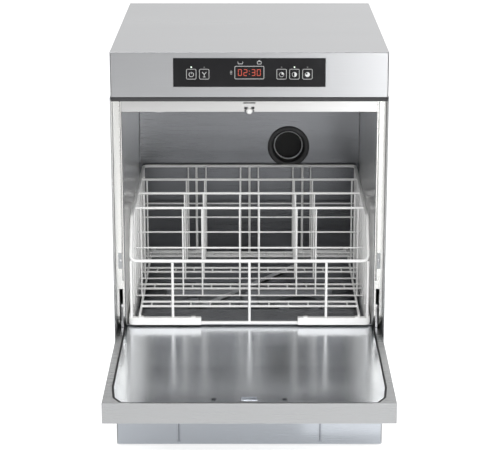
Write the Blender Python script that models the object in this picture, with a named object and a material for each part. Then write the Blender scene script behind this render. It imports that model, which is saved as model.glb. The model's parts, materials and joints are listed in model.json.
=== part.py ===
"""Undercounter glass washer with a drop-down door, standing on its feet, door open.

Metres, +Z up, +X to the right of someone facing the machine, +Y into the machine. The origin is on the floor,
under the middle of the whole box that the machine and its open door fill. Depths are measured from the
cabinet's front plane, and place() turns a depth into y.
"""
import math

import bmesh
import bpy
from mathutils import Matrix, Vector

# Cabinet
HALF_WIDTH = 0.220
DEPTH = 0.500
HEIGHT = 0.663
SKIN = 0.0012               # sheet thickness
PLATE = 0.0015              # thickness of the plinth and the base tray
GAP = 0.0003                # between pieces that rest on or against each other
SKIRT_HEIGHT = 0.004        # underside of the skins and the plinth
HOOD_BOTTOM = 0.591
HOOD_HALF = 0.2187
BETWEEN_SKINS = 0.2184      # half-width of the plates that fit between the side skins
REAR_PANEL_DEPTH = 0.486
PLINTH_TOP = 0.157
GROOVE_X = 0.117            # the plinth's two upright grooves
TRAY_FLOOR = 0.008
TRAY_RIM = 0.040
TRAY_TOP = TRAY_FLOOR + PLATE + GAP         # where the service gear stands
FOOT_X = 0.185
FOOT_DEPTHS = {"front": 0.040, "rear": 0.450}
INLET = (0.150, 0.060)      # x and height of the water inlet; the cable gland mirrors it

# Door, as it lies open; the hinge line is behind and above its inner face
HINGE_DEPTH = 0.064
HINGE_HEIGHT = 0.224
DOOR_THICKNESS = 0.032
SWEEP = 0.0315              # radius about the hinge that the door's face rolls round, less a gap
DOOR_UNDERSIDE = 0.160
DOOR_FACE = DOOR_UNDERSIDE + DOOR_THICKNESS
DOOR_HALF = 0.2182
DOOR_FREE_EDGE = -0.2934
DOOR_TAIL = HINGE_DEPTH + HINGE_HEIGHT - DOOR_UNDERSIDE
OPENING_HALF = 0.2080       # the hole in the door's face that takes the inner panel
OPENING_FRONT = -0.2894
OPENING_BACK = 0.1180
SEAL_WIDTH = 0.003
PANEL_HEIGHTS = (0.1740, 0.1915)            # the inner panel's skirt and its face
SEAL_HEIGHTS = (0.1840, 0.1917)
POCKET = (0.0120, (-0.2815, -0.2660), 0.1850)   # half-width, depths and floor of the catch's pocket
LUG = (0.2085, 0.2125)      # x span of the hinge lug on the right
PIN_RADIUS = 0.0040
PIN_BORE = 0.00405
FRONT_Y = -(DEPTH + DOOR_FREE_EDGE) / 2

# Wash chamber
CHAMBER_HALF = 0.203
CHAMBER_FRONT = 0.033
CHAMBER_BACK = 0.455
CHAMBER_TOP = 0.5765
SHELF_HEIGHT = 0.193
SHELF_FRONT = 0.0575
SHELF_BACK = 0.1348
HEADER_BOTTOM = 0.5605
HEADER_TOP = 0.5815
JAMB = (0.2045, 0.2182)     # x span of the upright beside the chamber's mouth
LATCH = (0.0, 0.0365, 0.5617)               # the ball catch's centre
LATCH_RADIUS = 0.0055
LATCH_STEM = 0.0025
TANK_HALF = 0.1978
TANK_BACK = 0.452
TANK_FLOOR = 0.125
FILTER_HEIGHT = 0.150
SUMP = ((0.040, 0.140), (0.240, 0.340))     # x and depth spans of the sump well
SUMP_FLOOR = 0.062
PORT_X = 0.072
PORT_HEIGHT = 0.404
STRAINER = (0.090, 0.290)                   # x and depth
OVERFLOW = (-0.100, 0.293)

# Spray arms
LOWER_CENTRE = (0.0, 0.293)                 # x and depth of the lower arms' axis
UPPER_CENTRE = (0.0, 0.252)
SPINDLE = 0.004
ARM_BORE = 0.0043
LOWER_REACH = 0.150
UPPER_REACH = 0.170
WASH_ARM = (0.024, 0.0180)                  # width and hub radius
RINSE_ARM = (0.012, 0.0110)
HUB_RADIUS = 0.0160
LOWER_WASH = (0.1705, 0.1790)               # heights of each arm
LOWER_RINSE = (0.1822, 0.1872)
UPPER_WASH = (0.5345, 0.5430)
UPPER_RINSE = (0.5245, 0.5295)

# Basket
BASKET_CENTRE = 0.2525
BASKET_HALF = 0.1985
BASKET_FLOOR = 0.1945
GUARD_HALF = (0.201, 0.200)
GUARD_THICK = 0.0100
GUARD_LEG = 0.121
GUARD_HEIGHT = 0.0125
RIM_WIRE = 0.0057
WIRE = 0.0042
THIN_WIRE = 0.0032
LADDER_HEIGHT = BASKET_FLOOR + 0.0195
LOW_RIM = BASKET_FLOOR + 0.113
HIGH_RIM = BASKET_FLOOR + 0.177
MIDDLE_WIRE = BASKET_FLOOR + 0.104
ROW_PITCH = 0.098
FENCE_PAIR = 0.0164                         # half the spacing of a fence's paired uprights
FENCE_END = 0.184
FRONT_POST = 0.127
SIDE_RUNNER = 0.188                         # x of the lengthwise wires that carry the ladders
LADDER_HALF = 0.012                         # half the spacing of a ladder's two wires
RUNG_XS = (-0.132, -0.066, 0.0, 0.066, 0.132)

# Controls
GLASS_HALF = 0.1195
GLASS_SPAN = (0.6075, 0.6535)
KEY_HEIGHT = 0.628
KEY_SIZE = (0.0166, 0.0175)
KEY_XS = {"key_power": -0.091, "key_rinse": -0.0707, "key_cycle_short": 0.0505,
          "key_cycle_medium": 0.0706, "key_cycle_long": 0.091}
DISPLAY_SIZE = (0.045, 0.0195)
DISPLAY_HEIGHT = 0.6305
PANE = (-0.0003, 0.0027)                    # depths of the glass, just proud of the fascia
KEY_BACK = 0.0045
BOARD_DEPTH = 0.0080

MATERIALS = {
    "brushed_steel": ((0.62, 0.63, 0.65), 0.32, 1.0),
    "polished_steel": ((0.70, 0.71, 0.73), 0.14, 1.0),
    "chamber_steel": ((0.50, 0.51, 0.53), 0.26, 1.0),
    "frame_steel": ((0.45, 0.46, 0.47), 0.45, 1.0),
    "black_glass": ((0.012, 0.012, 0.014), 0.12, 0.0),
    "key_print": ((0.020, 0.020, 0.022), 0.25, 0.0),
    "black_rubber": ((0.035, 0.035, 0.038), 0.65, 0.0),
    "white_coating": ((0.88, 0.88, 0.87), 0.35, 0.0),
    "white_plastic": ((0.85, 0.85, 0.84), 0.40, 0.0),
    "grey_plastic": ((0.35, 0.36, 0.38), 0.45, 0.0),
    "black_plastic": ((0.03, 0.03, 0.03), 0.50, 0.0),
    "blue_plastic": ((0.08, 0.16, 0.35), 0.45, 0.0),
    "circuit_board": ((0.03, 0.16, 0.07), 0.50, 0.0),
}


# ---------------------------------------------------------------- tools

def clear_scene():
    for item in list(bpy.data.objects):
        bpy.data.objects.remove(item, do_unlink=True)


def place(x, depth, height):
    return Vector((x, FRONT_Y + depth, height))


def material(slot):
    found = bpy.data.materials.get(slot)
    if found:
        return found
    colour, roughness, metallic = MATERIALS[slot]
    made = bpy.data.materials.new(slot)
    made.use_nodes = True
    shader = made.node_tree.nodes["Principled BSDF"]
    shader.inputs["Base Color"].default_value = (*colour, 1.0)
    shader.inputs["Roughness"].default_value = roughness
    shader.inputs["Metallic"].default_value = metallic
    return made


def shape(bm):
    """A loose object of this bmesh, with its faces turned outwards."""
    bmesh.ops.recalc_face_normals(bm, faces=bm.faces)
    mesh = bpy.data.meshes.new("shape")
    bm.to_mesh(mesh)
    bm.free()
    loose = bpy.data.objects.new("shape", mesh)
    bpy.context.scene.collection.objects.link(loose)
    return loose


def block(xs, depths, heights):
    """A box between these low and high values."""
    bm = bmesh.new()
    bmesh.ops.create_cube(bm, size=1.0)
    low = place(xs[0], depths[0], heights[0])
    high = place(xs[1], depths[1], heights[1])
    for vertex in bm.verts:
        vertex.co = [low[i] + (vertex.co[i] + 0.5) * (high[i] - low[i]) for i in range(3)]
    return shape(bm)


def prism(outline, axis, low, high):
    """An outline extruded along x, y or z; its points give the other two values, in x, depth, height order."""
    def corner(point, along):
        values = list(point)
        values.insert("xyz".index(axis), along)
        return place(*values)

    bm = bmesh.new()
    face = bm.faces.new([bm.verts.new(corner(point, low)) for point in outline])
    pushed = bmesh.ops.extrude_face_region(bm, geom=[face])["geom"]
    shift = corner(outline[0], high) - corner(outline[0], low)
    bmesh.ops.translate(bm, vec=shift, verts=[v for v in pushed if isinstance(v, bmesh.types.BMVert)])
    return shape(bm)


def arc(centre, radius, start, end, steps):
    """Points of a circular arc, with its angles in degrees."""
    angles = [math.radians(start + (end - start) * i / steps) for i in range(steps + 1)]
    return [(centre[0] + radius * math.cos(a), centre[1] + radius * math.sin(a)) for a in angles]


def cylinder(start, end, radius, sides=20):
    """A round bar between two places, each given as x, depth, height."""
    a, b = place(*start), place(*end)
    bm = bmesh.new()
    turn = (b - a).to_track_quat("Z", "Y").to_matrix().to_4x4()
    bmesh.ops.create_cone(bm, cap_ends=True, segments=sides, radius1=radius, radius2=radius,
                          depth=(b - a).length, matrix=Matrix.Translation((a + b) / 2) @ turn)
    return shape(bm)


def post(x, depth, low, high, radius, sides=20):
    """An upright round bar."""
    return cylinder((x, depth, low), (x, depth, high), radius, sides)


def spindle_along(axis_depth, axis_height, near, far, radius, sides=20):
    """A round bar along x."""
    return cylinder((near, axis_depth, axis_height), (far, axis_depth, axis_height), radius, sides)


def bar_inward(x, height, near, far, radius, sides=20):
    """A round bar along y."""
    return cylinder((x, near, height), (x, far, height), radius, sides)


def mirrored(sign, near, far):
    """An x span on the right (sign 1) or its mirror image on the left (sign -1)."""
    return sorted((sign * near, sign * far))


def ball(centre, radius, rings=8):
    bm = bmesh.new()
    bmesh.ops.create_uvsphere(bm, u_segments=2 * rings, v_segments=rings, radius=radius,
                              matrix=Matrix.Translation(place(*centre)))
    return shape(bm)


def turned(loose, centre, degrees):
    """The same shape, turned about a vertical line at this x and depth."""
    middle = place(*centre, 0.0)
    spin = Matrix.Rotation(math.radians(degrees), 4, "Z")
    loose.data.transform(Matrix.Translation(middle) @ spin @ Matrix.Translation(-middle))
    return loose


def combine(body, others, operation):
    """The body with the others united to it or taken away from it, which uses the others up."""
    if not others:
        return body
    group = bpy.data.collections.new("others")
    bpy.context.scene.collection.children.link(group)
    for other in others:
        group.objects.link(other)
    step = body.modifiers.new("combine", "BOOLEAN")
    step.operation = operation
    step.solver = "EXACT"
    step.operand_type = "COLLECTION"
    step.collection = group
    view = bpy.context.evaluated_depsgraph_get()
    mesh = bpy.data.meshes.new_from_object(body.evaluated_get(view))
    body.modifiers.clear()
    body.data = mesh
    for other in others:
        bpy.data.objects.remove(other, do_unlink=True)
    bpy.data.collections.remove(group)
    return body


def union(first, *others):
    return combine(first, list(others), "UNION")


def cut(body, *others):
    return combine(body, list(others), "DIFFERENCE")


def node(name, loose, slot, origin=None):
    """Names a finished shape, gives it its material, and puts its origin on its joint's axis."""
    loose.name = name
    loose.data.name = name
    loose.data.materials.clear()
    loose.data.materials.append(material(slot))
    if origin:
        pivot = place(*origin)
        loose.data.transform(Matrix.Translation(-pivot))
        loose.location = pivot
    loose.data.shade_smooth()
    loose.data.set_sharp_from_angle(angle=math.radians(30))
    return loose


def tube(name, points, radius, slot):
    """A round pipe along a smooth line through these places."""
    smooth = []
    ends = [points[0], *points, points[-1]]
    for i in range(1, len(ends) - 2):
        a, b, c, d = (Vector(p) for p in ends[i - 1:i + 3])
        for step in range(3):
            t = step / 3
            smooth.append(0.5 * (2 * b + (c - a) * t + (2 * a - 5 * b + 4 * c - d) * t ** 2
                                 + (3 * b - a - 3 * c + d) * t ** 3))
    smooth.append(Vector(points[-1]))
    curve = bpy.data.curves.new(name, "CURVE")
    curve.dimensions = "3D"
    curve.bevel_depth = radius
    curve.bevel_resolution = 1
    curve.use_fill_caps = True
    spline = curve.splines.new("POLY")
    spline.points.add(len(smooth) - 1)
    for target, point in zip(spline.points, smooth):
        target.co = (*place(*point), 1.0)
    curve.materials.append(material(slot))
    made = bpy.data.objects.new(name, curve)
    bpy.context.scene.collection.objects.link(made)
    return made


# ---------------------------------------------------------------- cabinet

def make_feet():
    for side, x in (("left", -FOOT_X), ("right", FOOT_X)):
        for end, depth in FOOT_DEPTHS.items():
            disc = post(x, depth, 0.0, 0.0075, 0.017)
            stem = post(x, depth, 0.005, 0.030, 0.005, 12)
            node(f"foot_{end}_{side}", union(disc, stem), "black_plastic")


def make_base_frame():
    half, near, far = BETWEEN_SKINS - 0.0002, 0.003, REAR_PANEL_DEPTH - 0.0005
    outer = block((-half, half), (near, far), (TRAY_FLOOR, TRAY_RIM))
    hollow = block((PLATE - half, half - PLATE), (near + PLATE, far - PLATE), (TRAY_FLOOR + PLATE, TRAY_RIM + 0.010))
    holes = [post(x, depth, 0.0, 0.020, 0.0054, 12) for x in (-FOOT_X, FOOT_X) for depth in FOOT_DEPTHS.values()]
    drain = post(0.0, DEPTH / 2, 0.0, 0.020, 0.030)
    node("base_frame", cut(outer, hollow, drain, *holes), "frame_steel")


def make_plinth():
    panel = block((-BETWEEN_SKINS, BETWEEN_SKINS), (0.0, PLATE), (SKIRT_HEIGHT, PLINTH_TOP))
    grooves = [block((x - 0.003, x + 0.003), (-0.001, PLATE / 2), (SKIRT_HEIGHT + 0.005, PLINTH_TOP + 0.001))
               for x in (-GROOVE_X, GROOVE_X)]
    node("plinth_front", cut(panel, *grooves), "brushed_steel")


def make_skins():
    for side, sign in (("left", -1), ("right", 1)):
        skin = block(mirrored(sign, HALF_WIDTH - SKIN, HALF_WIDTH), (0.0, DEPTH), (SKIRT_HEIGHT, HOOD_BOTTOM - GAP))
        node(f"side_panel_{side}", skin, "brushed_steel")
    through = (REAR_PANEL_DEPTH - 0.006, REAR_PANEL_DEPTH + 0.009)
    panel = block((-BETWEEN_SKINS, BETWEEN_SKINS), (REAR_PANEL_DEPTH, REAR_PANEL_DEPTH + SKIN),
                  (TRAY_FLOOR + 0.001, HOOD_BOTTOM - GAP))
    inlet = bar_inward(INLET[0], INLET[1], *through, 0.0135)
    cable = bar_inward(-INLET[0], INLET[1], *through, 0.0105)
    vents = [block((x - 0.030, x + 0.030), through, (height, height + 0.004))
             for x in (-0.090, 0.090) for height in (0.520, 0.532, 0.544)]
    node("rear_panel", cut(panel, inlet, cable, *vents), "frame_steel")


def make_hood():
    outer = block((-HOOD_HALF, HOOD_HALF), (0.0, DEPTH), (HOOD_BOTTOM, HEIGHT))
    inner = block((-HOOD_HALF + SKIN, HOOD_HALF - SKIN), (-0.010, DEPTH - SKIN), (0.580, HEIGHT - SKIN))
    node("top_cover", cut(outer, inner), "brushed_steel")

    half = HOOD_HALF - SKIN - GAP
    top = HEIGHT - SKIN - GAP
    face = block((-half, half), (0.0, SKIN), (HOOD_BOTTOM, top))
    floor = block((-half, half), (0.0, 0.032), (HOOD_BOTTOM, HOOD_BOTTOM + SKIN))
    glass = block((-GLASS_HALF, GLASS_HALF), (-0.010, 0.010), GLASS_SPAN)
    node("front_fascia", cut(union(face, floor), glass), "brushed_steel")


def framed(centre, size, depths, inset=0.0):
    """An upright plate round this x and height, drawn in by an inset."""
    (x, height), (wide, tall) = centre, size
    return block((x - wide / 2 + inset, x + wide / 2 - inset), depths,
                 (height - tall / 2 + inset, height + tall / 2 - inset))


def make_controls():
    low, high = GLASS_SPAN
    through = (-0.010, 0.010)
    display = (0.0, DISPLAY_HEIGHT)
    pane = block((-GLASS_HALF + GAP, GLASS_HALF - GAP), PANE, (low + GAP, high - GAP))
    holes = [framed((x, KEY_HEIGHT), KEY_SIZE, through) for x in KEY_XS.values()]
    holes.append(framed(display, DISPLAY_SIZE, through))
    node("control_glass", cut(pane, *holes), "black_glass")
    node("display_window", framed(display, DISPLAY_SIZE, PANE, GAP), "black_glass")
    for name, x in KEY_XS.items():
        cap = framed((x, KEY_HEIGHT), KEY_SIZE, (PANE[0], KEY_BACK), GAP)
        node(name, cap, "key_print", (x, 0.0, KEY_HEIGHT))
    board = block((-0.112, 0.112), (BOARD_DEPTH, BOARD_DEPTH + 0.0016), (0.606, 0.655))
    relay = block((-0.030, 0.030), (BOARD_DEPTH + 0.001, 0.0220), (0.615, 0.645))
    node("control_board", union(board, relay), "circuit_board")


# ---------------------------------------------------------------- chamber

def make_header():
    """The cross piece over the chamber's mouth, with the ball catch in its notch and the seal above it."""
    strip = block((-0.2180, 0.2180), (0.004, CHAMBER_FRONT - 0.0005), (HEADER_TOP + 0.002, HOOD_BOTTOM - 0.0015))
    node("door_top_seal", strip, "black_rubber")

    x, depth, height = LATCH
    half = JAMB[0] - GAP
    face = block((-half, half), (CHAMBER_FRONT, CHAMBER_FRONT + SKIN), (HEADER_BOTTOM, HEADER_TOP))
    flange = block((-0.2020, 0.2020), (CHAMBER_FRONT, 0.060), (HEADER_BOTTOM, HEADER_BOTTOM + SKIN))
    notch = block((-0.0078, 0.0078), (0.030, 0.0460), (HEADER_BOTTOM - 0.010, height + 0.0073))
    bracket = block((-0.0098, 0.0098), (CHAMBER_FRONT, 0.050), (height + 0.0078, height + 0.0098))
    slot = block((-0.0095, 0.0095), (0.030, CHAMBER_FRONT + 0.002), (height + 0.0125, height + 0.0143))
    hole = post(x, depth, height, HEADER_TOP - 0.003, LATCH_STEM + 0.0004, 12)
    node("chamber_header", cut(union(cut(union(face, flange), notch), bracket), hole, slot), "polished_steel")

    catch = union(ball(LATCH, LATCH_RADIUS), post(x, depth, height + 0.0023, height + 0.0118, LATCH_STEM, 12))
    node("latch_ball", catch, "white_plastic", LATCH)


def make_jambs():
    """The uprights beside the chamber's mouth, whose lower ends curl back clear of the turning door."""
    hinge = (HINGE_DEPTH, HINGE_HEIGHT)
    top, bottom = 192, 242              # the curl's ends, in degrees about the hinge
    curl = arc(hinge, SWEEP, top, bottom, 8) + arc(hinge, SWEEP - SKIN, bottom, top - 3, 8)
    for side, sign in (("left", -1), ("right", 1)):
        span = mirrored(sign, *JAMB)
        plate = block(span, (CHAMBER_FRONT, CHAMBER_FRONT + SKIN), (HINGE_HEIGHT - 0.0064, HEADER_TOP))
        lug_slot = block(mirrored(sign, LUG[0] - 0.001, LUG[1] + 0.001), (0.020, HINGE_DEPTH), (0.190, 0.2640))
        catch_slot = block(mirrored(sign, 0.2080, 0.2140), (0.020, 0.040), (0.2985, 0.3255))
        node(f"jamb_{side}", cut(union(plate, prism(curl, "x", *span)), lug_slot, catch_slot), "polished_steel")


def make_chamber():
    outer = block((-CHAMBER_HALF - SKIN, CHAMBER_HALF + SKIN), (CHAMBER_FRONT + 0.0015, CHAMBER_BACK + SKIN),
                  (SHELF_HEIGHT + GAP, CHAMBER_TOP + SKIN))
    inner = block((-CHAMBER_HALF, CHAMBER_HALF), (0.030, CHAMBER_BACK), (SHELF_HEIGHT - 0.013, CHAMBER_TOP))
    port = bar_inward(PORT_X, PORT_HEIGHT, 0.440, 0.470, 0.0320, 24)
    hub = post(*UPPER_CENTRE, 0.560, 0.590, HUB_RADIUS + 0.001)
    turn = arc((HINGE_DEPTH, HINGE_HEIGHT), SWEEP, 270, 180, 8)
    corner = prism(turn + [(0.020, HINGE_HEIGHT), (0.020, 0.180), (HINGE_DEPTH, 0.180)], "x", -0.210, 0.210)
    node("chamber_liner", cut(outer, inner, port, hub, corner), "chamber_steel")

    flange = bar_inward(PORT_X, PORT_HEIGHT, CHAMBER_BACK - 0.0034, CHAMBER_BACK - GAP, 0.0385, 28)
    neck = bar_inward(PORT_X, PORT_HEIGHT, CHAMBER_BACK - 0.002, 0.4820, 0.0317, 28)
    bore = bar_inward(PORT_X, PORT_HEIGHT, 0.4400, 0.4790, 0.0270, 28)
    outlet = post(PORT_X, 0.4685, PORT_HEIGHT - 0.040, PORT_HEIGHT, 0.0075, 16)
    node("vent_port", cut(union(flange, neck), bore, outlet), "black_plastic")


def make_tank():
    """The sump tank, and the shelf in front of it that bridges the gap to the open door."""
    (left, right), (near, far) = SUMP
    wall = TANK_HALF + SKIN
    lip = block((-CHAMBER_HALF + GAP, CHAMBER_HALF - GAP), (SHELF_FRONT, SHELF_BACK + SKIN),
                (SHELF_HEIGHT, SHELF_HEIGHT + SKIN))
    shell = block((-wall, wall), (SHELF_BACK, TANK_BACK), (TANK_FLOOR - SKIN, SHELF_HEIGHT + 0.0004))
    rim = block((-0.2042, 0.2042), (SHELF_BACK, CHAMBER_BACK + SKIN), (SHELF_HEIGHT - SKIN, SHELF_HEIGHT))
    well = block((left - SKIN, right + SKIN), (near - SKIN, far + SKIN), (SUMP_FLOOR, TANK_FLOOR))
    hollow = block((-TANK_HALF, TANK_HALF), (SHELF_BACK + SKIN, TANK_BACK - SKIN), (TANK_FLOOR, 0.200))
    pit = block((left, right), (near, far), (SUMP_FLOOR + SKIN, 0.150))
    node("tank", cut(union(shell, well, rim, lip), hollow, pit), "chamber_steel")


def make_tank_fittings():
    rod, top = 0.0050, BASKET_FLOOR - GAP
    sides = [block(mirrored(sign, 0.1905, 0.1905 + rod), (0.1370, 0.4500), (top - rod, top)) for sign in (-1, 1)]
    rear = block((-0.1925, 0.1925), (0.4450, 0.4495), (top - 0.0045, top - 0.0002))
    node("basket_rails", union(rear, *sides), "polished_steel")

    through = (FILTER_HEIGHT - 0.010, FILTER_HEIGHT + 0.010)
    plate = block((-0.1890, 0.1890), (0.1400, 0.4480), (FILTER_HEIGHT, FILTER_HEIGHT + SKIN))
    legs = [block((x - 0.004, x + 0.004), (d - 0.004, d + 0.004), (TANK_FLOOR + GAP, FILTER_HEIGHT + SKIN / 2))
            for x in (-0.180, 0.180) for d in (0.150, 0.438)]
    round_holes = [post(*LOWER_CENTRE, *through, 0.0185), post(*STRAINER, *through, 0.0395, 24),
                   post(*OVERFLOW, *through, 0.0120, 16)]
    slots = [block((x - 0.035, x + 0.035), (d - 0.002, d + 0.002), through)
             for x in (-0.135, -0.045, 0.045, 0.135) for d in (0.165, 0.185, 0.401, 0.421)]
    node("filter_plate", cut(union(plate, *legs), *round_holes, *slots), "chamber_steel")

    x, depth = STRAINER
    brim_top = FILTER_HEIGHT + 0.0045
    cup = post(x, depth, 0.0700, brim_top, 0.0385, 24)
    brim = post(x, depth, brim_top - 0.003, brim_top, 0.0440, 24)
    hollow = post(x, depth, 0.0720, 0.1600, 0.0370, 24)
    grip = block((x - 0.0375, x + 0.0375), (depth - 0.002, depth + 0.002), (0.1480, brim_top - 0.001))
    node("strainer_basket", union(cut(union(cup, brim), hollow), grip), "grey_plastic")

    pipe = post(*OVERFLOW, TANK_FLOOR + GAP, 0.166, 0.0110, 16)
    bore = post(*OVERFLOW, 0.120, 0.170, 0.0090, 16)
    node("overflow_pipe", cut(pipe, bore), "grey_plastic")

    height = TANK_FLOOR + 0.012
    tube("tank_heater", [(-0.165, 0.138, height), (-0.165, 0.390, height), (-0.150, 0.408, height),
                         (-0.135, 0.390, height), (-0.135, 0.138, height)], 0.004, "polished_steel")


def spray_arm(name, centre, reach, size, heights, angle, slot):
    """A bar with rounded ends on a bored hub, turned by an angle in degrees about the hub's axis."""
    x, depth = centre
    low, high = heights
    width, hub_radius = size
    end = reach - width / 2
    bar = block((x - end, x + end), (depth - width / 2, depth + width / 2), heights)
    ends = [post(x + s * end, depth, low + 0.0002, high - 0.0002, width / 2 - 0.0002, 12) for s in (-1, 1)]
    hub = post(x, depth, low - 0.0012, high + 0.0012, hub_radius)
    bore = post(x, depth, low - 0.010, high + 0.010, ARM_BORE)
    arm = turned(cut(union(bar, hub, *ends), bore), centre, angle)
    node(name, arm, slot, (x, depth, (low + high) / 2))


def make_arms():
    body = post(*LOWER_CENTRE, TANK_FLOOR + GAP, LOWER_WASH[0] - 0.0015, HUB_RADIUS)
    spindle = post(*LOWER_CENTRE, 0.1600, 0.1930, SPINDLE)
    node("lower_hub", union(body, spindle), "grey_plastic")
    spray_arm("lower_wash_arm", LOWER_CENTRE, LOWER_REACH, WASH_ARM, LOWER_WASH, 0.0, "grey_plastic")
    spray_arm("lower_rinse_arm", LOWER_CENTRE, LOWER_REACH, RINSE_ARM, LOWER_RINSE, 55.0, "polished_steel")

    body = post(*UPPER_CENTRE, UPPER_WASH[1] + 0.0020, 0.5790, HUB_RADIUS)
    spindle = post(*UPPER_CENTRE, 0.5150, 0.5500, SPINDLE)
    knob = post(*UPPER_CENTRE, 0.5140, 0.5210, 0.0100)
    node("upper_hub", union(body, spindle, knob), "grey_plastic")
    spray_arm("upper_wash_arm", UPPER_CENTRE, UPPER_REACH, WASH_ARM, UPPER_WASH, 0.0, "grey_plastic")
    spray_arm("upper_rinse_arm", UPPER_CENTRE, UPPER_REACH, RINSE_ARM, UPPER_RINSE, 18.0, "polished_steel")


# ---------------------------------------------------------------- service gear

def make_service_gear():
    """The pumps, boiler and valve on the base tray, and the pipe that runs up the back to the upper arms."""
    depth, height = 0.075, 0.065
    motor = spindle_along(depth, height, 0.020, 0.120, 0.0360)
    volute = spindle_along(depth, height, 0.110, 0.150, 0.0450)
    stub = spindle_along(depth, height, 0.140, 0.168, 0.0150, 16)
    leg = block((0.050, 0.090), (depth - 0.020, depth + 0.020), (TRAY_TOP, 0.040))
    node("wash_pump", union(motor, volute, stub, leg), "grey_plastic")

    depth, height = 0.070, 0.050
    motor = spindle_along(depth, height, -0.170, -0.100, 0.0230)
    head = spindle_along(depth, height, -0.105, -0.075, 0.0300)
    leg = block((-0.150, -0.120), (depth - 0.015, depth + 0.015), (TRAY_TOP, 0.035))
    node("drain_pump", union(motor, head, leg), "black_plastic")

    body = block((0.165, 0.205), (0.390, 0.450), (0.0405, 0.0950))
    head = bar_inward(0.185, 0.070, 0.375, 0.395, 0.0160)
    leg = block((0.175, 0.195), (0.400, 0.440), (TRAY_TOP, 0.045))
    node("dosing_pump", union(body, head, leg), "blue_plastic")

    x, height = -0.110, 0.068
    drum = bar_inward(x, height, 0.190, 0.430, 0.0480, 24)
    cap = bar_inward(x, height, 0.175, 0.195, 0.0250, 16)
    feet = [block((x - 0.030, x + 0.030), (d - 0.010, d + 0.010), (TRAY_TOP, 0.030)) for d in (0.230, 0.390)]
    node("boiler", union(drum, cap, *feet), "polished_steel")

    tube("delivery_pipe", [(0.1690, 0.075, 0.065), (0.190, 0.078, 0.066), (0.195, 0.120, 0.085),
                           (0.180, 0.220, 0.105), (0.175, 0.360, 0.105), (0.170, 0.440, 0.107),
                           (0.165, 0.471, 0.135), (0.165, 0.471, 0.300), (0.165, 0.471, 0.500),
                           (0.163, 0.471, 0.575), (0.145, 0.446, 0.5970), (0.040, 0.300, 0.5900),
                           (*UPPER_CENTRE, 0.5885)], 0.0085, "black_rubber")

    x, height = INLET
    thread = bar_inward(x, height, 0.4600, DEPTH - 0.001, 0.0130)
    coil = block((x - 0.020, x + 0.010), (0.4400, 0.4650), (height - 0.015, height + 0.020))
    node("inlet_valve", union(thread, coil), "blue_plastic")

    gland = bar_inward(-x, height, 0.4780, 0.4980, 0.0100)
    collar = bar_inward(-x, height, REAR_PANEL_DEPTH + SKIN + 0.0004, 0.4930, 0.0140, 6)
    bore = bar_inward(-x, height, 0.4700, 0.5000, 0.0050, 12)
    node("cable_gland", cut(union(gland, collar), bore), "black_plastic")


# ---------------------------------------------------------------- door

def door_outline(inset):
    """The outline of the inner panel's opening, whose free corners are cut in two steps."""
    half = OPENING_HALF - inset
    front = OPENING_FRONT + inset
    right = [(half, OPENING_BACK - inset), (half, front + 0.062), (half - 0.0045, front + 0.020),
             (half - 0.0160, front)]
    return right + [(-x, depth) for x, depth in reversed(right)]


def make_door():
    """A folded outer skin, an inner panel in its face with the catch's pocket, the seal, and the hinges."""
    pivot = (0.0, HINGE_DEPTH, HINGE_HEIGHT)
    shell = block((-DOOR_HALF, DOOR_HALF), (DOOR_FREE_EDGE, DOOR_TAIL), (DOOR_UNDERSIDE, DOOR_FACE))
    hollow = block((-DOOR_HALF + SKIN, DOOR_HALF - SKIN), (DOOR_FREE_EDGE + SKIN, DOOR_TAIL - SKIN),
                   (DOOR_UNDERSIDE + SKIN, DOOR_FACE - SKIN))
    opening = prism(door_outline(0.0), "z", DOOR_FACE - 0.003, DOOR_FACE + 0.002)
    node("door_outer_panel", cut(shell, hollow, opening), "brushed_steel", pivot)

    skirt, face = PANEL_HEIGHTS
    half, (near, far), floor = POCKET
    panel = prism(door_outline(SEAL_WIDTH), "z", skirt, face)
    hollow = prism(door_outline(SEAL_WIDTH + SKIN), "z", skirt - 0.004, face - SKIN)
    cup = block((-half - SKIN, half + SKIN), (near - SKIN, far + SKIN), (floor - SKIN, face - SKIN / 2))
    pocket = block((-half, half), (near, far), (floor, face + 0.003))
    node("door_inner_panel", cut(union(cut(panel, hollow), cup), pocket), "polished_steel", pivot)

    ring = prism(door_outline(GAP), "z", *SEAL_HEIGHTS)
    hole = prism(door_outline(SEAL_WIDTH - GAP), "z", SEAL_HEIGHTS[0] - 0.004, SEAL_HEIGHTS[1] + 0.004)
    node("door_seal", cut(ring, hole), "black_rubber", pivot)

    for side, sign in (("left", -1), ("right", 1)):
        base = [(HINGE_DEPTH + 0.016, DOOR_FACE + GAP), (HINGE_DEPTH - 0.016, DOOR_FACE + GAP)]
        outline = base + arc((HINGE_DEPTH, HINGE_HEIGHT), 0.009, 180, 0, 8)
        lug = prism(outline, "x", *mirrored(sign, *LUG))
        bore = spindle_along(HINGE_DEPTH, HINGE_HEIGHT, sign * 0.2050, sign * 0.2150, PIN_BORE, 24)
        node(f"hinge_lug_{side}", cut(lug, bore), "frame_steel", pivot)

        plate = block(mirrored(sign, 0.2140, 0.2165), (0.0520, 0.1300), (HINGE_HEIGHT - 0.016, HINGE_HEIGHT + 0.024))
        pad = block(mirrored(sign, 0.2150, 0.2185), (0.1000, 0.1290), (HINGE_HEIGHT - 0.014, HINGE_HEIGHT + 0.022))
        pin = spindle_along(HINGE_DEPTH, HINGE_HEIGHT, sign * 0.2062, sign * 0.2150, PIN_RADIUS, 24)
        node(f"hinge_pin_{side}", union(plate, pad, pin), "frame_steel")


# ---------------------------------------------------------------- basket

def across(depth, height, size, half):
    """A wire along x."""
    return block((-half, half), (depth - size / 2, depth + size / 2), (height - size / 2, height + size / 2))


def upright(x, depth, size, low, high):
    """A wire along z."""
    return block((x - size / 2, x + size / 2), (depth - size / 2, depth + size / 2), (low, high))


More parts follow.
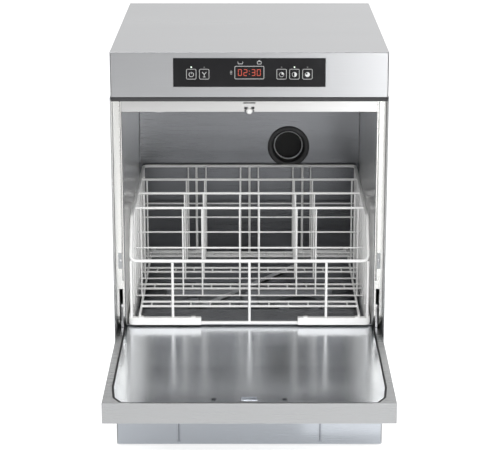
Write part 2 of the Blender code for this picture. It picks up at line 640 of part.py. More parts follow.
def lengthwise(x, height, size, near, far):
    """A wire along y."""
    return block((x - size / 2, x + size / 2), (near, far), (height - size / 2, height + size / 2))


def make_basket_base():
    """The perimeter rod with its four corner guards, and the floor ladders that the glasses stand on."""
    near, far = BASKET_CENTRE - BASKET_HALF, BASKET_CENTRE + BASKET_HALF
    rod = RIM_WIRE / 2
    level = BASKET_FLOOR + rod
    pieces = [across(near + rod, level, RIM_WIRE, BASKET_HALF), across(far - rod, level, RIM_WIRE, BASKET_HALF)]
    pieces += [lengthwise(s * (BASKET_HALF - rod), level, RIM_WIRE, near, far) for s in (-1, 1)]
    wide, deep = GUARD_HALF
    guard_heights = (BASKET_FLOOR - 0.0001, BASKET_FLOOR + GUARD_HEIGHT)
    for sx in (-1, 1):
        pieces.append(lengthwise(sx * SIDE_RUNNER, LADDER_HEIGHT, WIRE, BASKET_CENTRE - 0.189, BASKET_CENTRE + 0.189))
        for sy in (-1, 1):
            edge_x, edge_y = sx * wide, BASKET_CENTRE + sy * deep
            for leg_x, leg_y in ((GUARD_LEG, GUARD_THICK), (GUARD_THICK, GUARD_LEG)):
                pieces.append(block(sorted((edge_x, edge_x - sx * leg_x)), sorted((edge_y, edge_y - sy * leg_y)),
                                    guard_heights))
            pieces.append(upright(sx * SIDE_RUNNER, BASKET_CENTRE + sy * 0.1870, WIRE, BASKET_FLOOR + 0.004,
                                  LADDER_HEIGHT + 0.0015))
            foot = sorted((BASKET_CENTRE + sy * 0.1860, BASKET_CENTRE + sy * 0.1960))
            pieces.append(lengthwise(sx * SIDE_RUNNER, BASKET_FLOOR + 0.006, WIRE, *foot))
    for row in range(4):
        middle = BASKET_CENTRE + (row - 1.5) * ROW_PITCH
        pieces += [across(middle + s * LADDER_HALF, LADDER_HEIGHT + 0.0003, WIRE - 0.0004, 0.1925) for s in (-1, 1)]
        pieces += [lengthwise(x, LADDER_HEIGHT, THIN_WIRE, middle - LADDER_HALF - 0.0005, middle + LADDER_HALF + 0.0005)
                   for x in RUNG_XS]
    node("basket_base", union(*pieces), "white_coating")


def fence(depth, top, size, half, xs, low):
    """A row divider or end: top wire, thin middle wire, bottom wire and uprights, in one plane."""
    pieces = [across(depth, top - size / 2, size, half), across(depth, MIDDLE_WIRE, THIN_WIRE, half - 0.0005),
              across(depth, low + WIRE / 2, WIRE, half - 0.0002)]
    pieces += [upright(x, depth, THIN_WIRE + 0.0004, low + 0.001, top - 0.001) for x in xs]
    return union(*pieces)


def make_basket_walls():
    """The low front, the high rear, the three row dividers, and the two sides whose rims slope to the front."""
    near, far = BASKET_CENTRE - BASKET_HALF, BASKET_CENTRE + BASKET_HALF
    low = BASKET_FLOOR + GUARD_HEIGHT + GAP
    inner = BASKET_HALF - RIM_WIRE
    post_wire = WIRE - 0.0003
    corner = BASKET_HALF - 0.0025
    pairs = [centre + s * FENCE_PAIR for centre in (-ROW_PITCH, 0.0, ROW_PITCH) for s in (-1, 1)]

    depth = near + 0.0030
    front = [across(depth, LOW_RIM - RIM_WIRE / 2, RIM_WIRE, BASKET_HALF),
             across(depth, low + WIRE / 2, WIRE, BASKET_HALF - 0.0002)]
    front += [upright(x, depth, post_wire, low + 0.001, LOW_RIM - 0.001)
              for x in (-corner, -FRONT_POST, 0.0, FRONT_POST, corner)]
    node("basket_front", union(*front), "white_coating")

    xs = [-corner, -0.147, *pairs, 0.147, corner]
    node("basket_rear", fence(far - 0.0030, HIGH_RIM, RIM_WIRE, BASKET_HALF, xs, low), "white_coating")
    xs = [-FENCE_END, *pairs, FENCE_END]
    for row in (1, 2, 3):
        depth = BASKET_CENTRE + (row - 2) * ROW_PITCH
        divider = fence(depth, HIGH_RIM, WIRE, inner - 0.0006, xs, LADDER_HEIGHT + 0.0060)
        node(f"basket_divider_{row}", divider, "white_coating")

    start, end = near + 0.0062, far - 0.0062
    bend = near + 0.050
    rim = [(start, LOW_RIM - RIM_WIRE), (start, LOW_RIM), (bend, HIGH_RIM), (end, HIGH_RIM),
           (end, HIGH_RIM - RIM_WIRE), (bend + 0.003, HIGH_RIM - RIM_WIRE), (start + 0.004, LOW_RIM - RIM_WIRE)]
    half = RIM_WIRE / 2
    for side, sign in (("left", -1), ("right", 1)):
        x = sign * (BASKET_HALF - half)
        pieces = [prism(rim, "x", x - half, x + half), lengthwise(x, low + WIRE / 2, WIRE, start, end),
                  upright(x, start + 0.0020, post_wire, low + 0.001, LOW_RIM - 0.004)]
        pieces += [upright(x, BASKET_CENTRE + step * ROW_PITCH / 2, post_wire, low + 0.001, HIGH_RIM - 0.002)
                   for step in (-2, -1, 0, 1, 2, 3)]
        node(f"basket_side_{side}", union(*pieces), "white_coating")


def main():
    clear_scene()
    make_feet()
    make_base_frame()
    make_plinth()
    make_skins()
    make_hood()
    make_controls()
    make_header()
    make_jambs()
    make_chamber()
    make_tank()
    make_tank_fittings()
    make_arms()
    make_service_gear()
    make_door()
    make_basket_base()
    make_basket_walls()


main()
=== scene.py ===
"""The looks of an undercounter glass washer with its door open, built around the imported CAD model.

Everything is in metres in the CAD model's own frame: +Z up, +Y into the machine, +X to the right of someone
facing it. Places come from the boxes of the CAD nodes.
"""
import json
import math

import bmesh
import bpy
from mathutils import Matrix, Vector


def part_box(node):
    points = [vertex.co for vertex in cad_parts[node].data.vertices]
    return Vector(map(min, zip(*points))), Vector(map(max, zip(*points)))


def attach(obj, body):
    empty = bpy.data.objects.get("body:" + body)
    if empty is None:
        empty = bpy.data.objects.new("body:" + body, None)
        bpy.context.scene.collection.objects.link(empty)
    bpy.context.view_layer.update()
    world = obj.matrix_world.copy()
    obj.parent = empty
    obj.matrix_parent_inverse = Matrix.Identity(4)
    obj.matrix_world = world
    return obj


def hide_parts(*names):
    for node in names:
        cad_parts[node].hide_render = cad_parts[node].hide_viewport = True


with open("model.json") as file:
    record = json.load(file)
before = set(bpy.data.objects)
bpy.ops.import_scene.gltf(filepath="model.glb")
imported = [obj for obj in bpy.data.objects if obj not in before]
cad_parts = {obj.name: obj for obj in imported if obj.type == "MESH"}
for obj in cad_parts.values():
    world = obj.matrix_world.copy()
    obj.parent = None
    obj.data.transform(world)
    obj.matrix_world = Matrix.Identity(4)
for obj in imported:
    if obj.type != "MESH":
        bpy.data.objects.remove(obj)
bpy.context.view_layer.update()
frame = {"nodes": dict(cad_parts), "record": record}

X, Y, Z = 0, 1, 2
FRONT_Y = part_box("top_cover")[0].y          # the cabinet's front plane
CABINET = "cabinet"


# ---------------------------------------------------------------- materials

def new_material(name, colour, roughness, metallic=0.0, **sockets):
    """A Principled material and its node tree's nodes, links and shader."""
    made = bpy.data.materials.new(name)
    made.use_nodes = True
    tree = made.node_tree
    shader = tree.nodes["Principled BSDF"]
    shader.inputs["Base Color"].default_value = (*colour, 1.0)
    shader.inputs["Roughness"].default_value = roughness
    shader.inputs["Metallic"].default_value = metallic
    for socket, value in sockets.items():
        shader.inputs[socket.replace("_", " ")].default_value = value
    return made, tree.nodes, tree.links, shader


def mapped_noise(nodes, links, stretch, scale, detail=3.0, rough=0.6):
    """Noise over the object's own coordinates, stretched by a factor on each axis."""
    where = nodes.new("ShaderNodeTexCoord")
    mapping = nodes.new("ShaderNodeMapping")
    mapping.inputs["Scale"].default_value = stretch
    noise = nodes.new("ShaderNodeTexNoise")
    noise.inputs["Scale"].default_value = scale
    noise.inputs["Detail"].default_value = detail
    noise.inputs["Roughness"].default_value = rough
    links.new(where.outputs["Object"], mapping.inputs["Vector"])
    links.new(mapping.outputs["Vector"], noise.inputs["Vector"])
    return noise.outputs["Fac"]


def ramp(nodes, links, source, low, high, start=0.3, end=0.7):
    """Maps a grey value onto the range from low to high, which are greys or colours."""
    made = nodes.new("ShaderNodeValToRGB")
    for element, position, value in zip(made.color_ramp.elements, (start, end), (low, high)):
        element.position = position
        element.color = (*value, 1.0) if isinstance(value, tuple) else (value, value, value, 1.0)
    links.new(source, made.inputs["Fac"])
    return made.outputs["Color"]


def bumped(nodes, links, shader, source, strength, distance):
    bump = nodes.new("ShaderNodeBump")
    bump.inputs["Strength"].default_value = strength
    bump.inputs["Distance"].default_value = distance
    links.new(source, bump.inputs["Height"])
    links.new(bump.outputs["Normal"], shader.inputs["Normal"])


def brushed(name, colour, roughness, grain, spread=0.035, depth=0.000005, shade=0.022):
    """Stainless steel with fine parallel grain; grain is the axis that the brush strokes follow."""
    made, nodes, links, shader = new_material(name, colour, roughness, 1.0)
    stretch = [1.0, 1.0, 1.0]
    stretch[grain] = 0.012
    fine = mapped_noise(nodes, links, stretch, 900.0, 4.0, 0.7)
    broad = mapped_noise(nodes, links, [0.2 if i == grain else 1.0 for i in range(3)], 9.0, 2.0, 0.5)
    mix = nodes.new("ShaderNodeMix")
    mix.inputs[0].default_value = 0.35
    links.new(fine, mix.inputs[2])
    links.new(broad, mix.inputs[3])
    links.new(ramp(nodes, links, mix.outputs[0], roughness - spread, roughness + spread), shader.inputs["Roughness"])
    dark = tuple(c * (1.0 - shade) for c in colour)
    light = tuple(min(1.0, c * (1.0 + shade)) for c in colour)
    links.new(ramp(nodes, links, fine, dark, light), shader.inputs["Base Color"])
    bumped(nodes, links, shader, fine, 0.35, depth)
    return made


def plastic(name, colour, roughness, grain_scale=1400.0, grain=0.00002, mottle=0.04, **sockets):
    """Moulded plastic or rubber: a fine moulded grain and a faint change of tone."""
    made, nodes, links, shader = new_material(name, colour, roughness, **sockets)
    fine = mapped_noise(nodes, links, (1, 1, 1), grain_scale, 2.0)
    soft = mapped_noise(nodes, links, (1, 1, 1), 22.0, 3.0)
    dark = tuple(c * (1.0 - mottle) for c in colour)
    light = tuple(min(1.0, c * (1.0 + mottle)) for c in colour)
    links.new(ramp(nodes, links, soft, dark, light), shader.inputs["Base Color"])
    links.new(ramp(nodes, links, soft, roughness - 0.05, roughness + 0.07), shader.inputs["Roughness"])
    bumped(nodes, links, shader, fine, 0.3, grain)
    return made


def glow(name, colour, strength):
    made, nodes, links, shader = new_material(name, colour, 0.4)
    shader.inputs["Emission Color"].default_value = (*colour, 1.0)
    shader.inputs["Emission Strength"].default_value = strength
    haze = mapped_noise(nodes, links, (1, 1, 1), 500.0)
    links.new(ramp(nodes, links, haze, tuple(c * 0.85 for c in colour), colour), shader.inputs["Base Color"])
    return made


STEEL = (0.41, 0.415, 0.425)
brushed_x = brushed("steel_brushed_across", STEEL, 0.30, X)
# painted light: a lighter copy of the cabinet steel for the cover's top faces, as the top catches more light; its
# grain across X is real
lit_top_steel = brushed("steel_brushed_top_painted_light", (0.52, 0.525, 0.535), 0.30, X)
door_steel = brushed("steel_brushed_door", (0.37, 0.375, 0.38), 0.28, X)
brushed_y = brushed("steel_brushed_lengthwise", STEEL, 0.28, Y)
plinth_steel = brushed("steel_plinth", (0.37, 0.39, 0.42), 0.26, X)
brushed_z = brushed("steel_brushed_upright", STEEL, 0.30, Z)
mirror_y = brushed("steel_bright_door", (0.84, 0.86, 0.89), 0.19, Y, 0.04, 0.00002, 0.04)
header_steel = brushed("steel_header", (0.57, 0.57, 0.565), 0.30, X, 0.04)
bright_z = brushed("steel_bright_jamb", (0.74, 0.74, 0.72), 0.22, Z, 0.06)
# painted shade: the chamber's inside steel is far darker than the cabinet steel, for the shade inside the washing
# chamber
shaded_chamber_steel = brushed("steel_chamber", (0.19, 0.195, 0.205), 0.28, X, 0.02, 0.000004, 0.02)
# painted light: a very bright copy of the same steel for the chamber's side walls, for the light on them
lit_chamber_side = brushed("steel_chamber_side_painted_light", (0.95, 0.95, 0.94), 0.30, Z, 0.03, 0.000006, 0.03)
dull_steel = brushed("steel_galvanised", (0.45, 0.46, 0.47), 0.46, X, 0.10, 0.00005, 0.10)
# painted shade: a dark copy of the steel, for the shade in the plinth's grooves and round the door's screw heads
shaded_rib_steel = brushed("steel_rib_painted_shade", (0.20, 0.21, 0.23), 0.22, Z)
pin_steel = brushed("steel_turned", (0.52, 0.52, 0.53), 0.30, X, 0.08)
glass_black = plastic("panel_black", (0.008, 0.008, 0.009), 0.14, 300.0, 0.000001, 0.2, Specular_IOR_Level=0.22)
key_black = plastic("key_black", (0.009, 0.009, 0.010), 0.16, 300.0, 0.000001, 0.2, Specular_IOR_Level=0.22)
print_grey = plastic("print_grey", (0.60, 0.60, 0.60), 0.5, 900.0, 0.000002)
rubber = plastic("rubber_black", (0.030, 0.030, 0.032), 0.62, 1100.0, 0.00006)
coating = plastic("wire_coating", (0.86, 0.86, 0.85), 0.34, 700.0, 0.00003, 0.02, Coat_Weight=0.25)
white_plastic = plastic("nylon_white", (0.84, 0.84, 0.82), 0.38, 900.0, 0.00003)
grey_plastic = plastic("plastic_grey", (0.30, 0.31, 0.33), 0.45)
ring_plastic = plastic("plastic_light_grey", (0.78, 0.79, 0.80), 0.40)
# painted shade: a darker copy of the black plastic for the inside of the port's bore
bore_shade_black = plastic("plastic_bore_painted_shade", (0.005, 0.005, 0.005), 0.6)
black_plastic = plastic("plastic_black", (0.022, 0.022, 0.023), 0.45)
blue_plastic = plastic("plastic_blue", (0.06, 0.13, 0.30), 0.42)
board_green = plastic("board_green", (0.02, 0.13, 0.05), 0.5)
display_red = glow("display_digits", (0.75, 0.10, 0.05), 0.30)
led_green = glow("led_lit", (0.80, 1.0, 0.82), 0.7)
led_dark = plastic("led_dark", (0.10, 0.10, 0.10), 0.3)


# ---------------------------------------------------------------- mesh tools

def to_object(name, bm, material, body, smooth=35):
    """A finished piece of this bmesh, riding on a body."""
    bmesh.ops.recalc_face_normals(bm, faces=bm.faces)
    mesh = bpy.data.meshes.new(name)
    bm.to_mesh(mesh)
    bm.free()
    mesh.materials.append(material)
    mesh.shade_smooth()
    mesh.set_sharp_from_angle(angle=math.radians(smooth))
    piece = bpy.data.objects.new(name, mesh)
    bpy.context.scene.collection.objects.link(piece)
    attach(piece, body)
    return piece


def add_box(bm, low, high):
    """A box between two opposite corners."""
    for vertex in bmesh.ops.create_cube(bm, size=1.0)["verts"]:
        vertex.co = [low[i] + (vertex.co[i] + 0.5) * (high[i] - low[i]) for i in range(3)]


def add_bar(bm, start, end, radius, sides):
    """A round bar with flat ends."""
    start, end = Vector(start), Vector(end)
    turn = (end - start).to_track_quat("Z", "Y").to_matrix().to_4x4()
    bmesh.ops.create_cone(bm, cap_ends=True, segments=sides, radius1=radius, radius2=radius,
                          depth=(end - start).length, matrix=Matrix.Translation((start + end) / 2) @ turn)


POINT = 1e-6                # a turned profile closes to a point below this radius


def add_turned(bm, profile, centre, axis, sides):
    """A turned shape; the profile's points are (distance along the axis, radius), from the centre."""
    axis = Vector(axis).normalized()
    side = axis.orthogonal().normalized()
    other = axis.cross(side)
    rings = []
    for along, radius in profile:
        middle = Vector(centre) + axis * along
        if radius < POINT:
            rings.append([bm.verts.new(middle)])
            continue
        rings.append([bm.verts.new(middle + (side * math.cos(a) + other * math.sin(a)) * radius)
                      for a in (2 * math.pi * i / sides for i in range(sides))])
    for near, far in zip(rings, rings[1:]):
        for i in range(sides):
            j = (i + 1) % sides
            corners = [near[i % len(near)], near[j % len(near)], far[j % len(far)], far[i % len(far)]]
            corners = list(dict.fromkeys(corners))
            if len(corners) > 2:
                bm.faces.new(corners)


def pushed_out(bm, face, by):
    """A flat face pushed out into a solid."""
    pushed = bmesh.ops.extrude_face_region(bm, geom=[face])["geom"]
    bmesh.ops.translate(bm, vec=by, verts=[v for v in pushed if isinstance(v, bmesh.types.BMVert)])


FLAT = math.radians(1.0)    # folds below this angle count as flat
FOLD = math.radians(25)     # edges sharper than this are rounded
WELD = 0.00002              # corners closer than this are one


def narrow_side(face):
    """The second longest side of a face's box, so that a thin strip counts as thin."""
    spans = sorted(max(v.co[i] for v in face.verts) - min(v.co[i] for v in face.verts) for i in range(3))
    return spans[1]


def flat_regions(bm):
    """The faces of a mesh in groups that lie in one plane and touch."""
    left = dict.fromkeys(bm.faces)          # not a set, so that the order is the same on each run
    while left:
        region, ahead = [], [left.popitem()[0]]
        while ahead:
            face = ahead.pop()
            region.append(face)
            for side in face.edges:
                if side.calc_face_angle(math.pi) < FLAT:
                    for other in side.link_faces:
                        if other in left:
                            del left[other]
                            ahead.append(other)
        yield region


def border_groups(region):
    """The borders of a flat region, each as the list of its corners; a region with a hole has more than one."""
    inside = set(region)
    reach = {}
    for side in dict.fromkeys(side for face in region for side in face.edges):
        if sum(face in inside for face in side.link_faces) == 1:
            for a, b in (side.verts, reversed(side.verts)):
                reach.setdefault(a, []).append(b)
    while reach:
        group, ahead = [], [next(iter(reach))]
        while ahead:
            corner = ahead.pop()
            if corner in reach:
                group.append(corner.co.copy())
                ahead += reach.pop(corner)
        yield group


def extent(points):
    """The longest side of the box round these points."""
    return max(max(p[i] for p in points) - min(p[i] for p in points) for i in range(3))


def open_holes(bm):
    """Cuts every flat region that has holes along a line through each hole, so that no face surrounds one."""
    cuts = []
    for region in list(flat_regions(bm)):
        groups = sorted(border_groups(region), key=extent)
        for group in groups[:-1]:
            middle = sum(group, Vector()) / len(group)
            cuts.append((region[0].normal.copy(), region[0].calc_center_median(), middle))
    for normal, place, middle in cuts:
        across = Vector((1, 0, 0)) if abs(normal.x) < 0.9 else Vector((0, 1, 0))
        faces = [face for face in bm.faces if face.normal.dot(normal) > 0.999
                 and abs((face.calc_center_median() - place).dot(normal)) < WELD]
        sides = list(dict.fromkeys(side for face in faces for side in face.edges))
        corners = list(dict.fromkeys(corner for face in faces for corner in face.verts))
        cut = bmesh.ops.bisect_plane(bm, geom=faces + sides + corners, dist=WELD / 4, plane_co=middle,
                                     plane_no=across)["geom_cut"]
        for side in cut:
            if isinstance(side, bmesh.types.BMEdge) and side.calc_face_angle(math.pi) < FLAT:
                side.seam = True


def refined(node, material, edge=0.0003, corner=0.0, inside=0.0, round_axis=None, round_by=0.0,
            segments=3):
    """A copy of a CAD node with its facets merged and its edges rounded, which stands for the node.

    Edges between two wide faces are rounded by corner (outward folds) or inside (inward ones), edges along
    round_axis by round_by, and the rest, such as those of a cut sheet, by edge.
    """
    bm = bmesh.new()
    bm.from_mesh(frame["nodes"][node].data)
    bmesh.ops.remove_doubles(bm, verts=bm.verts, dist=WELD)
    open_holes(bm)
    bmesh.ops.dissolve_limit(bm, angle_limit=FLAT, verts=bm.verts, edges=bm.edges, delimit={"SEAM"})
    widest = max(edge, corner, inside, round_by)
    weights = bm.edges.layers.float.new("bevel_weight_edge")
    for side in bm.edges:
        if len(side.link_faces) != 2 or side.calc_face_angle(0.0) < FOLD:
            continue
        size = edge
        narrow = min(narrow_side(face) for face in side.link_faces)
        if narrow > 4 * corner > 0 and side.is_convex:
            size = corner
        elif narrow > 4 * inside > 0 and not side.is_convex:
            size = inside
        along = (side.verts[1].co - side.verts[0].co).normalized()
        if round_axis is not None and abs(along[round_axis]) > 0.99:
            size = round_by
        side[weights] = min(size, 0.45 * narrow) / widest
    piece = to_object(node + "_finish", bm, material, body_of_node(node), 180)
    step = piece.modifiers.new("edges", "BEVEL")
    step.width = widest
    step.segments = segments
    step.limit_method = "WEIGHT"
    step.use_clamp_overlap = True
    step.loop_slide = False
    step.miter_outer = "MITER_ARC"
    piece.modifiers.new("normals", "WEIGHTED_NORMAL").weight = 80
    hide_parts(node)
    return piece


def second_tone(piece, material, chosen):
    """Gives another material to the faces that this test picks."""
    piece.data.materials.append(material)
    for face in piece.data.polygons:
        if chosen(face):
            face.material_index = 1


def body_of_node(node):
    for body, nodes in frame["record"]["behaviour"]["bodies"].items():
        if node in nodes:
            return body
    return CABINET


def keep(node, material):
    """Leaves a CAD node showing as it is, in this material."""
    mesh = frame["nodes"][node].data
    mesh.materials.clear()
    mesh.materials.append(material)


def rounded_path(points, radius, steps=5):
    """The corners of a path turned into arcs, as a list of places."""
    points = [Vector(p) for p in points]
    path = [points[0]]
    for before, corner, after in zip(points, points[1:], points[2:]):
        back, ahead = (before - corner), (after - corner)
        reach = min(radius, 0.45 * back.length, 0.45 * ahead.length)
        start, end = corner + back.normalized() * reach, corner + ahead.normalized() * reach
        for i in range(steps + 1):
            t = i / steps
            path.append(start * (1 - t) ** 2 + corner * 2 * t * (1 - t) + end * t ** 2)
    path.append(points[-1])
    return path


def wires(name, paths, thickness, material, body, closed=()):
    """Round wires along these paths, as one curve; the paths named by number in closed are loops."""
    curve = bpy.data.curves.new(name, "CURVE")
    curve.dimensions = "3D"
    curve.bevel_depth = thickness / 2
    curve.bevel_resolution = 4
    curve.use_fill_caps = True
    for number, path in enumerate(paths):
        spline = curve.splines.new("POLY")
        spline.points.add(len(path) - 1)
        spline.use_cyclic_u = number in closed
        for target, point in zip(spline.points, path):
            target.co = (*point, 1.0)
    curve.materials.append(material)
    piece = bpy.data.objects.new(name, curve)
    bpy.context.scene.collection.objects.link(piece)
    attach(piece, body)
    return piece


# ---------------------------------------------------------------- basket

RIM_WIRE, POST_WIRE, FENCE_WIRE, FLOOR_WIRE, THIN_WIRE = 0.0057, 0.0046, 0.0045, 0.0042, 0.0030
FENCE_REACH = 0.0164        # half the spacing of a fence's paired uprights
FENCE_END = 0.184           # a fence's outermost uprights
FRONT_POST = 0.127          # the front's uprights between the middle and the corners
REAR_POST = 0.098           # and the rear's
MIDDLE_WIRE = 0.101         # height of a fence's middle wire over the base rod
RUNNER = 0.182              # the floor's outer runners
LADDER_HALF = 0.0118        # half a floor ladder's width
RUNG_PITCH = 0.033
GUARD_LEG, GUARD_THICK, GUARD_HEIGHT = 0.121, 0.0095, 0.0126


def basket_wires(name, paths, thickness, closed=()):
    return wires(name, paths, thickness, coating, "basket", closed)


def make_basket():
    """The glass basket: a base rod with corner guards, a sloping rim, uprights, fences and floor ladders."""
    low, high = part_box("basket_base")
    rear_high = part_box("basket_rear")[1]
    front_low, front_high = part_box("basket_front")
    rim = RIM_WIRE
    half = rear_high.x - rim / 2
    near = front_low.y + rim / 2
    far = rear_high.y - rim / 2
    base = low.z + rim / 2 + 0.0002
    top = rear_high.z - rim / 2
    front_top = front_high.z - rim / 2
    ladder = high.z - 0.0030
    middle = (near + far) / 2
    pitch = (far - near - 0.0045) / 4
    slope_end = near + 0.047

    base_loop = rounded_path([(half, middle, base), (half, far, base), (-half, far, base), (-half, near, base),
                              (half, near, base), (half, middle, base)], 0.014)[:-1]
    rim_loop = rounded_path([(half, middle, top), (half, far, top), (-half, far, top), (-half, slope_end, top),
                             (-half, near, front_top), (half, near, front_top), (half, slope_end, top),
                             (half, middle, top)], 0.011)[:-1]
    heavy = basket_wires("basket_rods", [base_loop, rim_loop], rim, closed=(0, 1))
    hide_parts("basket_front", "basket_rear", "basket_side_left", "basket_side_right")

    uprights = []
    inner = half - 0.0008
    for x in (-half, -FRONT_POST, 0.0, FRONT_POST, half):
        uprights.append([(x, near + 0.001, base), (x, near + 0.001, front_top)])
    for x in (-half, -REAR_POST, 0.0, REAR_POST, half):
        uprights.append([(x, far - 0.001, base), (x, far - 0.001, top)])
    for step in range(1, 8):
        y = near + (far - near) * step / 8
        height = top if y > slope_end else front_top + (top - front_top) * (y - near) / (slope_end - near)
        for sign in (-1, 1):
            uprights.append([(sign * inner, y, base), (sign * inner, y, height)])
    basket_wires("basket_uprights", uprights, POST_WIRE)

    bars, stakes, braces = [], [], []
    pairs = [centre + reach for centre in (-pitch, 0.0, pitch) for reach in (-FENCE_REACH, FENCE_REACH)]
    for row in (1, 2, 3, 4):
        y = middle + (row - 2) * pitch if row < 4 else far - 0.004
        stakes += [[(x, y, ladder), (x, y, top)] for x in pairs]
        if row < 4:
            bars.append([(-inner, y, top - 0.0006), (inner, y, top - 0.0006)])
            stakes += [[(x, y, ladder), (x, y, top)] for x in (-FENCE_END, FENCE_END)]
        braces.append([(-inner, y - 0.002, base + MIDDLE_WIRE), (inner, y - 0.002, base + MIDDLE_WIRE)])
        braces.append([(-inner, y - 0.002, ladder), (inner, y - 0.002, ladder)])
    fence = basket_wires("basket_fence_bars", bars, FENCE_WIRE)
    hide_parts("basket_divider_1", "basket_divider_2", "basket_divider_3")
    basket_wires("basket_fence_stakes", stakes, THIN_WIRE)

    rails = []
    for row in range(4):
        y = middle + (row - 1.5) * pitch
        reach = RUNNER if row == 0 else inner
        for offset in (-LADDER_HALF, LADDER_HALF):
            rails.append([(-reach, y + offset, ladder), (reach, y + offset, ladder)])
        for i in range(-5, 6):
            x = i * RUNG_PITCH
            braces.append([(x, y - LADDER_HALF, ladder - 0.001), (x, y + LADDER_HALF, ladder - 0.001)])
    for sign in (-1, 1):
        x = sign * RUNNER
        runner = [(x, near + 0.001, base), (x, near + 0.001, ladder - 0.003), (x, far - 0.001, ladder - 0.003),
                  (x, far - 0.001, base)]
        rails.append(rounded_path(runner, 0.007))
        rails.append([(sign * inner, near + 0.002, ladder), (sign * inner, far - 0.002, ladder)])
    basket_wires("basket_rails_floor", rails, FLOOR_WIRE)
    basket_wires("basket_braces", braces, THIN_WIRE)

    bm = bmesh.new()
    for sx in (-1, 1):
        for sy in (-1, 1):
            add_guard(bm, high.x * sx, high.y if sy > 0 else low.y, sx, sy, low.z)
    guards = to_object("basket_guards", bm, coating, "basket")
    step = guards.modifiers.new("edges", "BEVEL")
    step.width = 0.0012
    step.segments = 3
    step.angle_limit = math.radians(40)
    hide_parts("basket_base")


def add_guard(bm, corner_x, corner_y, sx, sy, low):
    """One moulded corner guard: an L in plan with a rounded outer corner and four small bumps on top."""
    leg, thick = GUARD_LEG, GUARD_THICK
    high = low + GUARD_HEIGHT
    radius = 0.011
    bump = 0.004
    outline = [(leg, 0.0), (leg, thick), (thick + 0.004, thick), (thick, thick + 0.004), (thick, leg), (0.0, leg)]
    for i in range(7):
        a = math.radians(180 + 90 * i / 6)
        outline.append((radius + radius * math.cos(a), radius + radius * math.sin(a)))
    ring = [(corner_x - sx * x, corner_y - sy * y) for x, y in outline]
    pushed_out(bm, bm.faces.new([bm.verts.new((x, y, low)) for x, y in ring]), (0, 0, GUARD_HEIGHT))
    for along in (0.022, 0.108):
        for x, y in ((along, thick / 2), (thick / 2, along)):
            x, y = corner_x - sx * x, corner_y - sy * y
            add_box(bm, (x - bump, y - bump, high - 0.001), (x + bump, y + bump, high + 0.0014))


# ---------------------------------------------------------------- door

DOOR_SCREW = (0.053, 0.0115)        # from the middle, and from the panel's free edge


def make_door():
    """The outer tray, the bright inner panel with its two screws, the seal between them, and the hinge parts."""
    refined("door_outer_panel", door_steel, edge=0.0004, corner=0.0026)
    refined("door_inner_panel", mirror_y, edge=0.0005, corner=0.0030, segments=4)
    refined("door_seal", rubber, edge=0.0004)
    low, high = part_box("door_inner_panel")
    bm = bmesh.new()
    for x in (-DOOR_SCREW[0], DOOR_SCREW[0]):
        add_screw(bm, (x, low.y + DOOR_SCREW[1], high.z), (0, 0, 1), 0.0042, 0.0009)
    # painted shade: the door screws are in the dark steel
    to_object("door_screws", bm, shaded_rib_steel, "door")
    for side in ("left", "right"):
        refined(f"hinge_lug_{side}", pin_steel, edge=0.0004)
        refined(f"hinge_pin_{side}", pin_steel, edge=0.0004)


def add_screw(bm, place, axis, radius, height):
    """A pan head with a cross recess, standing on a surface."""
    axis = Vector(axis)
    profile = [(0.0, radius), (height * 0.55, radius * 0.96), (height * 0.9, radius * 0.75), (height, radius * 0.5),
               (height, 0.0)]
    add_turned(bm, profile, place, axis, 20)
    side = axis.orthogonal().normalized()
    other = axis.cross(side)
    top = Vector(place) + axis * height
    for along, across in ((side, other), (other, side)):
        corners = [top + along * (radius * 0.55) * a + across * (radius * 0.10) * b + axis * c
                   for a in (-1, 1) for b in (-1, 1) for c in (-height * 0.3, height * 0.04)]
        bmesh.ops.convex_hull(bm, input=[bm.verts.new(c) for c in corners])


# ---------------------------------------------------------------- cabinet

def make_cabinet():
    cover = refined("top_cover", brushed_y, edge=0.0003, corner=0.0022)
    # painted light: the cover's upward faces are painted lighter than its sides
    second_tone(cover, lit_top_steel, lambda face: face.normal.z > 0.9)
    refined("front_fascia", brushed_x, edge=0.0003, corner=0.0016)
    refined("plinth_front", plinth_steel, edge=0.0003)
    for side in ("left", "right"):
        refined(f"side_panel_{side}", brushed_z, edge=0.0004)
        refined(f"jamb_{side}", bright_z, edge=0.0003)
    refined("rear_panel", dull_steel, edge=0.0003)
    refined("base_frame", dull_steel, edge=0.0003, corner=0.002)
    refined("door_top_seal", rubber, edge=0.0006)
    refined("chamber_header", header_steel, edge=0.0003, corner=0.0012)
    refined("latch_ball", white_plastic, edge=0.0002)


JAMB_SLOT = (0.2110, 0.3120)        # x and height of a jamb slot's centre
SLOT_PLATE = (0.0052, 0.020)        # half the width and height of the plate behind it
BOLT_HEAD = [(0.0, 0.0026), (0.0011, 0.0026), (0.0016, 0.0020), (0.0018, 0.0)]


